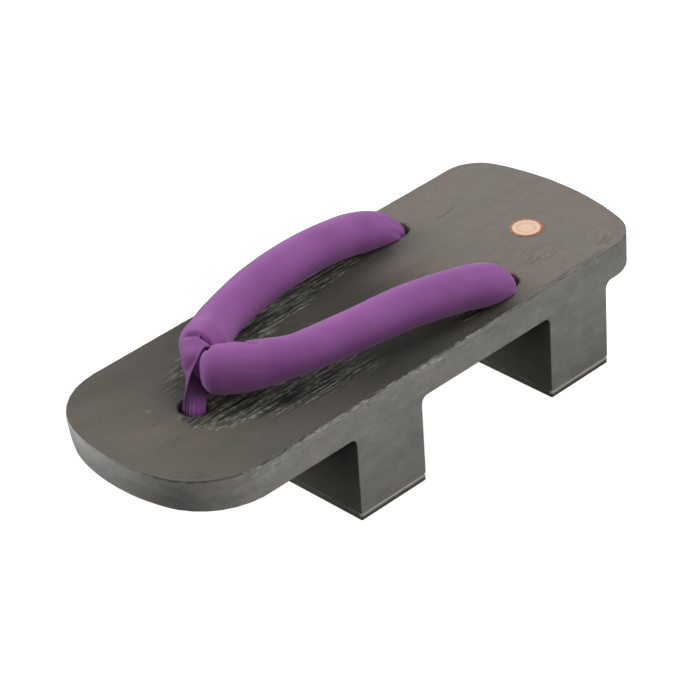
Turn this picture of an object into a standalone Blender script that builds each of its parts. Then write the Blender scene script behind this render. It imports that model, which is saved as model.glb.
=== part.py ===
"""A wooden geta: deck and two teeth carved from one block, rubber pads, a padded thong and its toe loop.

Metres, Z up from the floor. X is the width and Y the length, with the toe at -Y and the origin under the
middle of the deck.
"""
import math

import bmesh
import bpy
from mathutils import Vector

# The block
LENGTH = 0.246
WIDTH = 0.090
DECK_THICKNESS = 0.0145
TOOTH_HEIGHT = 0.0342
ARRIS = 0.0013
UNDERSIDE_FILLET = 0.003
TOE_END_RADIUS = 0.080
TOE_CORNER_RADIUS = 0.031
HEEL_END_RADIUS = 0.110
HEEL_CORNER_RADIUS = 0.017
TOE_UNDERCUT = 0.0022
TOE_UNDERCUT_HEIGHT = 0.009

# The teeth, along the length from the toe
TOE_OVERHANG = 0.0801
FRONT_TOOTH = 0.0346
TOOTH_SPACE = 0.0712
REAR_TOOTH = 0.0328
PAD_THICKNESS = 0.003
PAD_EDGE = 0.0006

# The cord holes
HOLE_DIAMETER = 0.012
FRONT_HOLE_SETBACK = 0.042
REAR_HOLE_SETBACK = 0.1772
REAR_HOLE_HALF_SPREAD = 0.0293

# The thong
STRAP_RADIUS = 0.0084
STRAP_LIFT = 0.0150
JOINT_BEHIND_HOLE = 0.0100
JOINT_OVERLAP = 0.0040
TAIL_SLACK = 0.0009
KNOT_RADIUS = 0.0075
KNOT_HEIGHT = 0.0095

# The toe loop
LOOP_WIDTH = 0.0092
LOOP_THICKNESS = 0.0015
LOOP_SHIFT = 0.0012
LOOP_BITE = 0.0004

FIT_GAP = 0.0003

# How finely round forms are divided
END_STEPS = 6
CORNER_STEPS = 7
FILLET_STEPS = 4
ARRIS_STEPS = 2
ARRIS_ANGLE = 50
HOLE_SIDES = 28
STRAP_SIDES = 18
STEPS_BETWEEN_STATIONS = 4
CAP_ANGLES = (25, 50, 75)
LOOP_ANGLES = (-20, 2, 24, 46, 68, 90)

# Places that follow from these sizes
PAD_TOP = PAD_THICKNESS
TEETH_BOTTOM = PAD_TOP + FIT_GAP
DECK_BOTTOM = TEETH_BOTTOM + TOOTH_HEIGHT
DECK_TOP = DECK_BOTTOM + DECK_THICKNESS
TOE_Y = -LENGTH / 2
HEEL_Y = LENGTH / 2
FRONT_TOOTH_Y = TOE_Y + TOE_OVERHANG
FRONT_TOOTH_BACK_Y = FRONT_TOOTH_Y + FRONT_TOOTH
REAR_TOOTH_Y = FRONT_TOOTH_BACK_Y + TOOTH_SPACE
REAR_TOOTH_BACK_Y = REAR_TOOTH_Y + REAR_TOOTH
FRONT_HOLE_Y = TOE_Y + FRONT_HOLE_SETBACK
REAR_HOLE_Y = TOE_Y + REAR_HOLE_SETBACK
JOINT_Y = FRONT_HOLE_Y + JOINT_BEHIND_HOLE
TAIL_RADIUS = HOLE_DIAMETER / 2 - TAIL_SLACK

# The straps' stations from the joint to the rear holes. run is the share of the way along Y, spread the share
# of the way from the joint's half spread to the holes', lift the share of STRAP_LIFT that the middle of the
# strap lies above the deck, and height and breadth are shares of STRAP_RADIUS.
STRAP_STATIONS = (
    # run, spread, lift, height, breadth
    (0.000, 0.00, 0.93, 1.14, 0.92),
    (0.095, 0.32, 0.90, 1.00, 0.96),
    (0.190, 0.58, 0.90, 0.94, 0.95),
    (0.380, 0.83, 0.96, 0.98, 0.98),
    (0.586, 0.97, 0.92, 0.99, 1.00),
    (0.777, 1.08, 0.68, 0.96, 1.00),
    (0.903, 1.10, 0.40, 0.88, 0.92),
    (0.965, 1.04, 0.28, 0.80, 0.84),
)

# How far a strap's round ends reach, as shares of their half height.
FRONT_END_REACH = 0.8
REAR_END_REACH = 1.0

# A tail is narrower where it leaves the padding.
TAIL_TOP_SHARE = 0.8

# A knot's profile: drop is the share of KNOT_HEIGHT below the deck, and wide the share of KNOT_RADIUS.
KNOT_PROFILE = (
    # drop, wide
    (0.00, 0.80),
    (0.12, 0.95),
    (0.40, 1.00),
    (0.72, 0.92),
    (0.92, 0.62),
    (1.00, 0.30),
)

# The toe loop's foot, in front of the hole's middle: the share of TAIL_RADIUS, and the share of LOOP_WIDTH.
LOOP_FOOT_FORWARD = 0.4
LOOP_FOOT_WIDTH = 0.8

# The toe loop behind the joint: back and up from the joint's middle as shares of the loop's radius there,
# width the share of LOOP_WIDTH and shift the share of LOOP_SHIFT.
LOOP_REAR_STATIONS = (
    # back, up, width, shift
    (0.28, 1.00, 1.00, 1.0),
    (0.52, 0.90, 0.80, 0.7),
    (0.66, 0.62, 0.55, 0.3),
    (0.70, 0.20, 0.42, 0.0),
    (0.68, -0.35, 0.42, 0.0),
    (0.56, -0.82, 0.50, 0.0),
    (0.25, -1.08, 0.60, 0.0),
    (-0.30, -1.16, 0.70, 0.0),
    (-0.80, -1.18, 0.75, 0.0),
)


def material(name, colour, roughness):
    mat = bpy.data.materials.new(name)
    mat.use_nodes = True
    shader = mat.node_tree.nodes["Principled BSDF"]
    shader.inputs["Base Color"].default_value = (*colour, 1.0)
    shader.inputs["Roughness"].default_value = roughness
    shader.inputs["Metallic"].default_value = 0.0
    return mat


def add_object(name, bm, collection, mat=None):
    """Writes a bmesh into a new object of the collection."""
    bmesh.ops.recalc_face_normals(bm, faces=bm.faces)
    mesh = bpy.data.meshes.new(name)
    bm.to_mesh(mesh)
    bm.free()
    obj = bpy.data.objects.new(name, mesh)
    collection.objects.link(obj)
    if mat:
        mesh.materials.append(mat)
    return obj


def smooth_shade(obj, degrees=35):
    obj.data.shade_smooth()
    obj.data.set_sharp_from_angle(angle=math.radians(degrees))


def boolean(obj, other, operation):
    mod = obj.modifiers.new(f"{operation.lower()} {other.name}", "BOOLEAN")
    mod.operation = operation
    mod.object = other
    mod.solver = "EXACT"


def as_cutter(obj):
    obj.hide_render = True
    obj.display_type = "WIRE"
    return obj


def end_arcs(end_radius, corner_radius, inset=0.0):
    """Half of one rounded end of the deck, from its tip to the straight side, as (x, distance from the tip).

    inset draws the tip in and fades out towards the straight side.
    """
    side = WIDTH / 2
    corner_x = side - corner_radius
    corner_back = end_radius - math.sqrt((end_radius - corner_radius) ** 2 - corner_x ** 2)
    meet = math.asin(corner_x / (end_radius - corner_radius))
    arcs = [(0, end_radius, end_radius, meet * i / END_STEPS) for i in range(END_STEPS)]
    for i in range(CORNER_STEPS + 1):
        arcs.append((corner_x, corner_back, corner_radius, meet + (math.pi / 2 - meet) * i / CORNER_STEPS))
    points = []
    for centre_x, centre_back, radius, angle in arcs:
        reach = radius - inset * math.cos(angle)
        points.append((centre_x + reach * math.sin(angle), centre_back - reach * math.cos(angle)))
    return points


def deck_outline(toe_inset=0.0):
    """The deck's outline, once around."""
    toe = [(x, TOE_Y + back) for x, back in end_arcs(TOE_END_RADIUS, TOE_CORNER_RADIUS, toe_inset)]
    heel = [(x, HEEL_Y - back) for x, back in end_arcs(HEEL_END_RADIUS, HEEL_CORNER_RADIUS)]
    right = toe + heel[::-1]
    left = [(-x, y) for x, y in right[-2:0:-1]]
    return right + left


def loft(name, rings, collection, mat=None):
    """A closed skin over rings of equally many points."""
    bm = bmesh.new()
    loops = [[bm.verts.new(point) for point in ring] for ring in rings]
    count = len(loops[0])
    for below, above in zip(loops, loops[1:]):
        for i in range(count):
            j = (i + 1) % count
            bm.faces.new((below[i], below[j], above[j], above[i]))
    bm.faces.new(loops[0][::-1])
    bm.faces.new(loops[-1])
    return add_object(name, bm, collection, mat)


def box(name, low, high, collection, mat=None, fillet=0.0, fillet_edges=None):
    """A box between two corners. fillet_edges picks, by their middle, the edges that are rounded."""
    low, high = Vector(low), Vector(high)
    bm = bmesh.new()
    bmesh.ops.create_cube(bm, size=1.0)
    bmesh.ops.scale(bm, verts=bm.verts, vec=high - low)
    bmesh.ops.translate(bm, verts=bm.verts, vec=(low + high) / 2)
    if fillet:
        chosen = [e for e in bm.edges if fillet_edges((e.verts[0].co + e.verts[1].co) / 2)]
        bmesh.ops.bevel(bm, geom=chosen, offset=fillet, segments=FILLET_STEPS, profile=0.5, affect="EDGES",
                        clamp_overlap=True)
    return add_object(name, bm, collection, mat)


def undercut(name, front, back, collection, fillet_front=True, fillet_back=True):
    """The space that is carved away under the deck between two places along the length."""
    reach = WIDTH
    middle = (front + back) / 2

    def inner_top_edges(centre):
        at_top = centre.z > DECK_BOTTOM - FIT_GAP and abs(centre.x) < reach / 2
        return at_top and ((fillet_front and centre.y < middle) or (fillet_back and centre.y > middle))

    low = (-reach, front, -PAD_THICKNESS)
    high = (reach, back, DECK_BOTTOM)
    return as_cutter(box(name, low, high, collection, None, UNDERSIDE_FILLET, inner_top_edges))


def hole_places():
    return (
        ("front_hole", 0, FRONT_HOLE_Y),
        ("rear_hole_right", REAR_HOLE_HALF_SPREAD, REAR_HOLE_Y),
        ("rear_hole_left", -REAR_HOLE_HALF_SPREAD, REAR_HOLE_Y),
    )


def hole_cutter(name, x, y, radius, collection):
    bm = bmesh.new()
    depth = DECK_THICKNESS * 2
    bmesh.ops.create_cone(bm, cap_ends=True, segments=HOLE_SIDES, radius1=radius, radius2=radius, depth=depth)
    bmesh.ops.translate(bm, verts=bm.verts, vec=(x, y, (DECK_TOP + DECK_BOTTOM) / 2))
    return as_cutter(add_object(name, bm, collection))


def deck_clearance(collection):
    """What the cords keep out of: the deck with its holes, a fit gap larger all round."""
    side, low, high = WIDTH, DECK_BOTTOM - FIT_GAP, DECK_TOP + FIT_GAP
    slab = box("deck_clearance", (-side, -LENGTH, low), (side, LENGTH, high), collection)
    for name, x, y in hole_places():
        bore = hole_cutter(f"{name}_clearance", x, y, HOLE_DIAMETER / 2 - FIT_GAP, collection)
        boolean(slab, bore, "DIFFERENCE")
    return as_cutter(slab)


def platform(parts, cutters, mat):
    """The deck and both teeth, carved from one block."""
    levels = (
        (TEETH_BOTTOM, TOE_UNDERCUT),
        (DECK_BOTTOM, TOE_UNDERCUT),
        (DECK_BOTTOM + TOE_UNDERCUT_HEIGHT, 0.0),
        (DECK_TOP, 0.0),
    )
    rings = [[(x, y, z) for x, y in deck_outline(inset)] for z, inset in levels]
    block = loft("platform", rings, parts, mat)
    beyond = LENGTH
    spaces = (
        undercut("space_under_toe", TOE_Y - beyond, FRONT_TOOTH_Y, cutters, fillet_front=False),
        undercut("space_between_teeth", FRONT_TOOTH_BACK_Y, REAR_TOOTH_Y, cutters),
        undercut("space_under_heel", REAR_TOOTH_BACK_Y, HEEL_Y + beyond, cutters, fillet_back=False),
    )
    for space in spaces:
        boolean(block, space, "DIFFERENCE")
    bevel = block.modifiers.new("worn arris", "BEVEL")
    bevel.width = ARRIS
    bevel.segments = ARRIS_STEPS
    bevel.limit_method = "ANGLE"
    bevel.angle_limit = math.radians(ARRIS_ANGLE)
    for name, x, y in hole_places():
        boolean(block, hole_cutter(name, x, y, HOLE_DIAMETER / 2, cutters), "DIFFERENCE")
    smooth_shade(block)
    return block


def tooth_pad(name, front, back, parts, mat):
    """A rubber pad as large as its tooth."""
    side = WIDTH / 2
    return box(name, (-side, front, 0), (side, back, PAD_TOP), parts, mat, PAD_EDGE, lambda centre: True)


def ellipse_ring(centre, across, upward, breadth, height):
    ring = []
    for i in range(STRAP_SIDES):
        angle = 2 * math.pi * i / STRAP_SIDES
        ring.append(centre + across * (breadth * math.cos(angle)) + upward * (height * math.sin(angle)))
    return ring


def between(rows, place):
    """The row at a place, counted in rows, on a smooth curve through all of them."""
    i = min(int(place), len(rows) - 2)
    t = place - i
    before = rows[max(i - 1, 0)]
    after = rows[min(i + 2, len(rows) - 1)]
    values = []
    for a, b, c, d in zip(before, rows[i], rows[i + 1], after):
        slope_in, slope_out = (c - a) / 2, (d - b) / 2
        values.append((2 * t ** 3 - 3 * t ** 2 + 1) * b + (t ** 3 - 2 * t ** 2 + t) * slope_in
                      + (3 * t ** 2 - 2 * t ** 3) * c + (t ** 3 - t ** 2) * slope_out)
    return values


def strap_sections(side, swell=0.0):
    """Centres and half sizes along one strap. side is 1 or -1 and swell makes it thicker all round."""
    front_spread = STRAP_RADIUS * STRAP_STATIONS[0][4] - JOINT_OVERLAP / 2
    sections = []
    steps = (len(STRAP_STATIONS) - 1) * STEPS_BETWEEN_STATIONS
    for step in range(steps + 1):
        run, spread, lift, height, breadth = between(STRAP_STATIONS, step / STEPS_BETWEEN_STATIONS)
        x = front_spread + (REAR_HOLE_HALF_SPREAD - front_spread) * spread
        y = JOINT_Y + (REAR_HOLE_Y - JOINT_Y) * run
        centre = Vector((side * x, y, DECK_TOP + STRAP_LIFT * lift))
        sections.append((centre, STRAP_RADIUS * breadth + swell, STRAP_RADIUS * height + swell))
    return sections


def strap(name, side, collection, mat=None, swell=0.0):
    """One padded strap with round ends."""
    sections = strap_sections(side, swell)
    centres = [centre for centre, _, _ in sections]
    rings = []
    for i, (centre, breadth, height) in enumerate(sections):
        along = (centres[min(i + 1, len(centres) - 1)] - centres[max(i - 1, 0)]).normalized()
        across = along.cross(Vector((0, 0, 1))).normalized()
        upward = across.cross(along)
        ring = ellipse_ring(centre, across, upward, breadth, height)
        if i == 0:
            rings += end_cap(centre, -along * FRONT_END_REACH, across, upward, breadth, height)[::-1]
        rings.append(ring)
        if i == len(sections) - 1:
            rings += end_cap(centre, along * REAR_END_REACH, across, upward, breadth, height)
    return loft(name, rings, collection, mat)


def end_cap(centre, outward, across, upward, breadth, height):
    """Rings that round off a strap's end, from its last section outward."""
    rings = []
    for angle in CAP_ANGLES:
        share = math.cos(math.radians(angle))
        reach = math.sin(math.radians(angle)) * height
        rings.append(ellipse_ring(centre + outward * reach, across, upward, breadth * share, height * share))
    return rings


def tail(name, x, y, top, top_shift, collection):
    """A gathered cloth end that runs down through a hole and is knotted under the deck."""
    across, along = Vector((1, 0, 0)), Vector((0, 1, 0))
    top_centre, top_radius = Vector((x, y, top)) + Vector(top_shift), TAIL_RADIUS * TAIL_TOP_SHARE
    rings = [
        ellipse_ring(top_centre, across, along, top_radius, top_radius),
        ellipse_ring(Vector((x, y, DECK_TOP)), across, along, TAIL_RADIUS, TAIL_RADIUS),
        ellipse_ring(Vector((x, y, DECK_BOTTOM - FIT_GAP)), across, along, TAIL_RADIUS, TAIL_RADIUS),
    ]
    for drop, wide in KNOT_PROFILE:
        centre = Vector((x, y, DECK_BOTTOM - 2 * FIT_GAP - KNOT_HEIGHT * drop))
        rings.append(ellipse_ring(centre, across, along, KNOT_RADIUS * wide, KNOT_RADIUS * wide))
    return loft(name, rings, collection)


def thong_straps(parts, cutters, mat, clearance):
    """Both padded straps in one piece, with their tails through the rear holes."""
    thong = strap("thong_straps", 1, parts, mat)
    boolean(thong, as_cutter(strap("left_strap", -1, cutters)), "UNION")
    end, _, end_height = strap_sections(1)[-1]
    for side, label in ((1, "right"), (-1, "left")):
        shift = (side * (end.x - REAR_HOLE_HALF_SPREAD), end.y - REAR_HOLE_Y, 0)
        made = tail(f"{label}_tail", side * REAR_HOLE_HALF_SPREAD, REAR_HOLE_Y, end.z, shift, cutters)
        boolean(thong, as_cutter(made), "UNION")
    boolean(thong, clearance, "DIFFERENCE")
    smooth_shade(thong, 50)
    return thong


def loop_path():
    """The toe loop's middle line from the front hole round the joint, as point, outward side and width."""
    joint, _, height = strap_sections(1)[0]
    radius = height + FIT_GAP - LOOP_BITE + LOOP_THICKNESS / 2
    hub = Vector((0, joint.y, joint.z))
    foot = Vector((0, FRONT_HOLE_Y - TAIL_RADIUS * LOOP_FOOT_FORWARD, DECK_TOP + LOOP_THICKNESS))
    points = [(foot, LOOP_FOOT_WIDTH)]
    for degrees in LOOP_ANGLES:
        turn = math.radians(degrees)
        points.append((hub + Vector((-LOOP_SHIFT, -radius * math.cos(turn), radius * math.sin(turn))), 1.0))
    for back, up, width, shift in LOOP_REAR_STATIONS:
        points.append((hub + Vector((-LOOP_SHIFT * shift, radius * back, radius * up)), width))
    path = []
    for i, (point, width) in enumerate(points):
        along = points[min(i + 1, len(points) - 1)][0] - points[max(i - 1, 0)][0]
        outward = Vector((0, -along.z, along.y)).normalized()
        path.append((point, outward, width))
    return path


def loop_band(name, collection):
    """The strip of the toe loop, all the way round the joint."""
    rings = []
    for centre, outward, width in loop_path():
        across = Vector((LOOP_WIDTH / 2 * width, 0, 0))
        thick = outward * (LOOP_THICKNESS / 2)
        rings.append([centre - across - thick, centre + across - thick, centre + across + thick,
                      centre - across + thick])
    return loft(name, rings, collection)


def toe_loop(parts, cutters, mat, clearance):
    """The cloth loop over the joint, gathered into the front hole."""
    joint, _, height = strap_sections(1)[0]
    top = joint.z - height + LOOP_THICKNESS
    loop = tail("toe_loop", 0, FRONT_HOLE_Y, top, (-LOOP_SHIFT / 2, 0, 0), parts)
    loop.data.materials.append(mat)
    boolean(loop, as_cutter(loop_band("loop_band", cutters)), "UNION")
    for side, label in ((1, "right"), (-1, "left")):
        around = strap(f"{label}_strap_clearance", side, cutters, swell=FIT_GAP)
        boolean(loop, as_cutter(around), "DIFFERENCE")
    boolean(loop, clearance, "DIFFERENCE")
    smooth_shade(loop, 50)
    return loop


def main():
    for obj in list(bpy.data.objects):
        bpy.data.objects.remove(obj)
    parts = bpy.data.collections.new("geta")
    cutters = bpy.data.collections.new("cutters")
    for collection in (parts, cutters):
        bpy.context.scene.collection.children.link(collection)
    wood = material("dark_wood", (0.075, 0.066, 0.055), 0.62)
    front_rubber = material("front_rubber", (0.018, 0.018, 0.017), 0.8)
    rear_rubber = material("rear_rubber", (0.018, 0.018, 0.017), 0.8)
    strap_cloth = material("strap_cloth", (0.27, 0.085, 0.30), 0.85)
    loop_cloth = material("loop_cloth", (0.25, 0.08, 0.28), 0.85)
    platform(parts, cutters, wood)
    tooth_pad("front_tooth_pad", FRONT_TOOTH_Y, FRONT_TOOTH_BACK_Y, parts, front_rubber)
    tooth_pad("rear_tooth_pad", REAR_TOOTH_Y, REAR_TOOTH_BACK_Y, parts, rear_rubber)
    clearance = deck_clearance(cutters)
    thong_straps(parts, cutters, strap_cloth, clearance)
    toe_loop(parts, cutters, loop_cloth, clearance)


main()
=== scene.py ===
"""The looks of the geta: burnt and brushed wood with real relief, padded cloth straps, a gathered toe loop,
knots under the deck and a plain round label. Metres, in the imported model's own frame."""

import math

import bmesh
import bpy
from mathutils import Matrix, Vector, noise
from mathutils.bvhtree import BVHTree
from mathutils.kdtree import KDTree


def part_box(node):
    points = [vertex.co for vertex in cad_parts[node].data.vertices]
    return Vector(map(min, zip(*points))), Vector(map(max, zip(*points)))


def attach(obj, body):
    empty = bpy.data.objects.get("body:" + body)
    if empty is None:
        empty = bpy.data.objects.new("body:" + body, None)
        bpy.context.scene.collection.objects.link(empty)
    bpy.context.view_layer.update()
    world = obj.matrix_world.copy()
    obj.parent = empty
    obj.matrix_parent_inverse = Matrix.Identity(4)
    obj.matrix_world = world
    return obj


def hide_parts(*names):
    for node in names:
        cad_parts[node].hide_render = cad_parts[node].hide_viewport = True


MM = 0.001

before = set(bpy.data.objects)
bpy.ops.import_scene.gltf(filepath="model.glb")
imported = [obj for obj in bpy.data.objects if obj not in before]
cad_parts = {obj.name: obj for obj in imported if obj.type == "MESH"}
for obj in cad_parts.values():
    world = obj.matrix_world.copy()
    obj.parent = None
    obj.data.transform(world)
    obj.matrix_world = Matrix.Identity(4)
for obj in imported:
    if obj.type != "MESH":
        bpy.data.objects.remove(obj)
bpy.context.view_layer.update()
block_low, block_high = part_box("platform")
DECK_TOP = block_high.z
HALF_WIDTH = block_high.x
TOE_Y = block_low.y
HEEL_Y = block_high.y
PAD_HEIGHT = block_low.z

# The cord holes, as the deck is drilled. The rear ones are right and left.
HOLE_RADIUS = 6.2 * MM
FRONT_HOLE = Vector((0, TOE_Y + 42 * MM, DECK_TOP))
REAR_HOLES = [Vector((side * 29.3 * MM, TOE_Y + 177.2 * MM, DECK_TOP)) for side in (1, -1)]
HOLES = (FRONT_HOLE, *REAR_HOLES)


def smooth(low, high, value):
    """0 below low, 1 above high, and a soft step between."""
    t = min(max((value - low) / (high - low), 0.0), 1.0)
    return t * t * (3 - 2 * t)


def bump_at(value, centre, width):
    """A soft ridge, 1 at its centre."""
    return math.exp(-((value - centre) / width) ** 2)


def spline(rows, place):
    """The row at a place, counted in rows, on a smooth curve through all of them."""
    i = min(int(place), len(rows) - 2)
    t = place - i
    before, after = rows[max(i - 1, 0)], rows[min(i + 2, len(rows) - 1)]
    values = []
    for a, b, c, d in zip(before, rows[i], rows[i + 1], after):
        slope_in, slope_out = (c - a) / 2, (d - b) / 2
        values.append((2 * t ** 3 - 3 * t ** 2 + 1) * b + (t ** 3 - 2 * t ** 2 + t) * slope_in
                      + (3 * t ** 2 - 2 * t ** 3) * c + (t ** 3 - t ** 2) * slope_out)
    return values


def spline_by_first(rows, value):
    """The same curve, read at a value of the rows' first column."""
    value = min(max(value, rows[0][0]), rows[-1][0])
    i = max(k for k in range(len(rows) - 1) if rows[k][0] <= value)
    return spline(rows, i + (value - rows[i][0]) / (rows[i + 1][0] - rows[i][0]))


def patches(u, u_size, v, v_size, layer):
    """Smooth noise, about -1 to 1, in patches of these sizes in mm. Each layer has patches of its own."""
    return noise.noise(Vector((u / (u_size * MM), v / (v_size * MM), layer)))


# Camera: the photograph's angle, as fitted to the block's edges
CAMERA_AZIMUTH, CAMERA_ELEVATION, CAMERA_ROLL = (math.radians(v) for v in (46.807, 33.346, -3.87))
CAMERA_PLACE = (0.78377208, -0.73685518, 0.74352604)
LENS_MM, SENSOR_MM = 173.4826, 36.0


def add_camera():
    sin_a, cos_a = math.sin(CAMERA_AZIMUTH), math.cos(CAMERA_AZIMUTH)
    sin_e, cos_e = math.sin(CAMERA_ELEVATION), math.cos(CAMERA_ELEVATION)
    back = Vector((sin_a * cos_e, -cos_a * cos_e, sin_e))
    right = Vector((cos_a, sin_a, 0))
    up = back.cross(right)
    turned_right = math.cos(CAMERA_ROLL) * right + math.sin(CAMERA_ROLL) * up
    turned_up = -math.sin(CAMERA_ROLL) * right + math.cos(CAMERA_ROLL) * up
    data = bpy.data.cameras.new("camera")
    data.lens, data.sensor_width = LENS_MM, SENSOR_MM
    data.clip_start, data.clip_end = 0.01, 20
    camera = bpy.data.objects.new("camera", data)
    bpy.context.scene.collection.objects.link(camera)
    matrix = Matrix((turned_right, turned_up, back)).transposed().to_4x4()
    matrix.translation = CAMERA_PLACE
    camera.matrix_world = matrix
    bpy.context.scene.camera = camera


# Light: name, place, size, watts
LIGHTS = (
    ("overhead", (0.15, 0.45, 1.25), 0.75, 6.0),
    ("side", (1.25, 0.25, 0.72), 0.8, 4.2),
    ("front", (-1.15, -0.70, 0.48), 0.7, 11.5),
)
LIGHT_AIM = Vector((0, 0, 0.03))
# The sky's brightness at the horizon and straight up, and the height below which nothing shines
SKY_LOW, SKY_HIGH, SKY_ENDS = 0.06, 0.70, -0.02
FLOOR_REACH, FLOOR_COLOUR, FLOOR_GLOW = 6.0, (0.42, 0.42, 0.42), 0.92


def add_lights():
    for name, place, size, watts in LIGHTS:
        data = bpy.data.lights.new(name, "AREA")
        data.shape, data.size, data.energy = "SQUARE", size, watts
        light = bpy.data.objects.new(name, data)
        light.location = place
        light.rotation_euler = (Vector(place) - LIGHT_AIM).to_track_quat("Z", "Y").to_euler()
        bpy.context.scene.collection.objects.link(light)
    world = bpy.data.worlds.new("studio")
    bpy.context.scene.world = world
    world.use_nodes = True
    sky = Nodes(world.node_tree)
    direction = sky.node("TexCoord", {}).outputs["Generated"]
    up = sky.node("SeparateXYZ", {0: direction}).outputs["Z"]
    height = sky.node("MapRange", {"Value": up, "To Min": SKY_LOW, "To Max": SKY_HIGH}).outputs["Result"]
    above = sky.maths("GREATER_THAN", up, SKY_ENDS)
    background = sky.nodes["Background"].inputs
    background["Color"].default_value = (1, 1, 1, 1)
    sky.put(background["Strength"], sky.maths("MULTIPLY", height, above))


def add_floor():
    """A pale floor that throws no light back up: the photograph's teeth are dark beside it."""
    bm = bmesh.new()
    bmesh.ops.create_grid(bm, x_segments=1, y_segments=1, size=FLOOR_REACH)
    floor = new_object("floor", bm)
    shade = Shade("floor_white")
    shade.colour(FLOOR_COLOUR)
    shade.roughness(0.95)
    shade.shader.inputs["Specular IOR Level"].default_value = 0.0
    shade.shader.inputs["Emission Color"].default_value = (1, 1, 1, 1)
    shade.shader.inputs["Emission Strength"].default_value = FLOOR_GLOW
    floor.data.materials.append(shade.material)
    floor.visible_diffuse = False
    floor.visible_glossy = False


def new_object(name, bm, smooth_degrees=None):
    mesh = bpy.data.meshes.new(name)
    bm.to_mesh(mesh)
    bm.free()
    obj = bpy.data.objects.new(name, mesh)
    bpy.context.scene.collection.objects.link(obj)
    if smooth_degrees:
        mesh.shade_smooth()
        mesh.set_sharp_from_angle(angle=math.radians(smooth_degrees))
    return obj


class Nodes:
    """A node tree and short ways to add nodes to it. A value is a constant or another node's output."""

    def __init__(self, tree):
        self.nodes, self.links = tree.nodes, tree.links

    def put(self, socket, value):
        """Links a node's output to a socket, or sets the socket's value."""
        if hasattr(value, "is_output"):
            self.links.new(value, socket)
        elif isinstance(value, tuple) and len(value) == 3 and socket.type == "RGBA":
            socket.default_value = (*value, 1)
        else:
            socket.default_value = value

    def node(self, kind, inputs, **settings):
        """A new node with its settings, and a value on each input given by name or number."""
        node = self.nodes.new("ShaderNode" + kind)
        for name, value in settings.items():
            setattr(node, name, value)
        for name, value in inputs.items():
            self.put(node.inputs[name], value)
        return node

    def maths(self, operation, a, b):
        return self.node("Math", {0: a, 1: b}, operation=operation).outputs[0]


# About how many half waves the wave texture has to a unit, at a scale of 1
HALF_WAVES = 6.5


class Shade(Nodes):
    """A material and what its looks are made of."""

    def __init__(self, name):
        self.material = bpy.data.materials.new(name)
        self.material.use_nodes = True
        super().__init__(self.material.node_tree)
        self.shader = self.nodes["Principled BSDF"]

    def object_place(self, scale=(1, 1, 1), turn=(0, 0, 0)):
        """The place on the object in metres, scaled."""
        place = self.node("TexCoord", {}).outputs["Object"]
        return self.node("Mapping", {"Vector": place, "Scale": scale, "Rotation": turn}).outputs["Vector"]

    def noise(self, scale, detail=4.0, rough=0.55, distortion=0.0, turn=(0, 0, 0)):
        """Noise whose scale is given as 1 / size along each axis, in metres."""
        inputs = {"Vector": self.object_place(scale, turn), "Scale": 1.0, "Detail": detail,
                  "Roughness": rough, "Distortion": distortion}
        return self.node("TexNoise", inputs).outputs["Fac"]

    def cloth_wave(self, direction, width):
        """Waves across the cloth's own UV map, which is in millimetres, each half a wave of this width."""
        place = self.node("UVMap", {}, uv_map="cloth").outputs["UV"]
        inputs = {"Vector": place, "Scale": 1 / width / HALF_WAVES}
        return self.node("TexWave", inputs, bands_direction=direction).outputs["Fac"]

    def attribute(self, name):
        return self.node("Attribute", {}, attribute_name=name).outputs["Fac"]

    def ramp(self, value, low, high):
        """0 where value is low, 1 where it is high, soft between."""
        inputs = {"Value": value, "From Min": low, "From Max": high}
        return self.node("MapRange", inputs, interpolation_type="SMOOTHSTEP").outputs["Result"]

    def mix(self, share, a, b):
        return self.node("Mix", {"Factor": share, "A": a, "B": b}, data_type="RGBA").outputs["Result"]

    def lay(self, base, share, colour, strength):
        """The base with a colour laid over it by a share, at this strength where the share is 1."""
        return self.mix(self.maths("MULTIPLY", share, strength), base, colour)

    def colour(self, value):
        self.put(self.shader.inputs["Base Color"], value)

    def roughness(self, value):
        self.put(self.shader.inputs["Roughness"], value)

    def bump(self, *layers):
        """Stacks bump layers, each as (height, depth in metres)."""
        below = {}
        for height, depth in layers:
            bump = self.node("Bump", {"Strength": 1.0, "Distance": depth, "Height": height, **below})
            below = {"Normal": bump.outputs["Normal"]}
        self.put(self.shader.inputs["Normal"], below["Normal"])


# The block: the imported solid, cut finely above a height, with the grain carved in. The level cuts go down to
# GRAIN_DEEP under the deck's top.
GRAIN_STEP_ACROSS, GRAIN_STEP_ALONG, GRAIN_STEP_DOWN = 0.45 * MM, 1.2 * MM, 0.7 * MM
FINE_ABOVE, GRAIN_DEEP = DECK_TOP - 15.5 * MM, 14.7 * MM
WELD_WITHIN, FLAT_WITHIN_DEGREES, BLOCK_SHARP_DEGREES = 0.01 * MM, 0.5, 38
GROOVE_DEPTH, GROOVE_ACROSS, GROOVE_ALONG = 0.42 * MM, 1.05 * MM, 18 * MM
# The toe's face is undercut below this depth, and worn round within this reach of it, by this much
TOE_RIDGE_UNDER, TOE_RIDGE_REACH, TOE_RIDGE_ROUND = 5.5 * MM, 4.6 * MM, 0.28 * MM
# The faces of the teeth towards the toe are painted darker from this depth down, as painted shade under the
# deck's overhang
FRONT_SHADE_UNDER = 15.2 * MM

# The round ends are shaded smooth from this far off the middle, by the flats within reach at this depth
ENDS_FROM, ENDS_REACH, ENDS_SAMPLED_UNDER = 88 * MM, 7 * MM, 3.0 * MM

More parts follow.
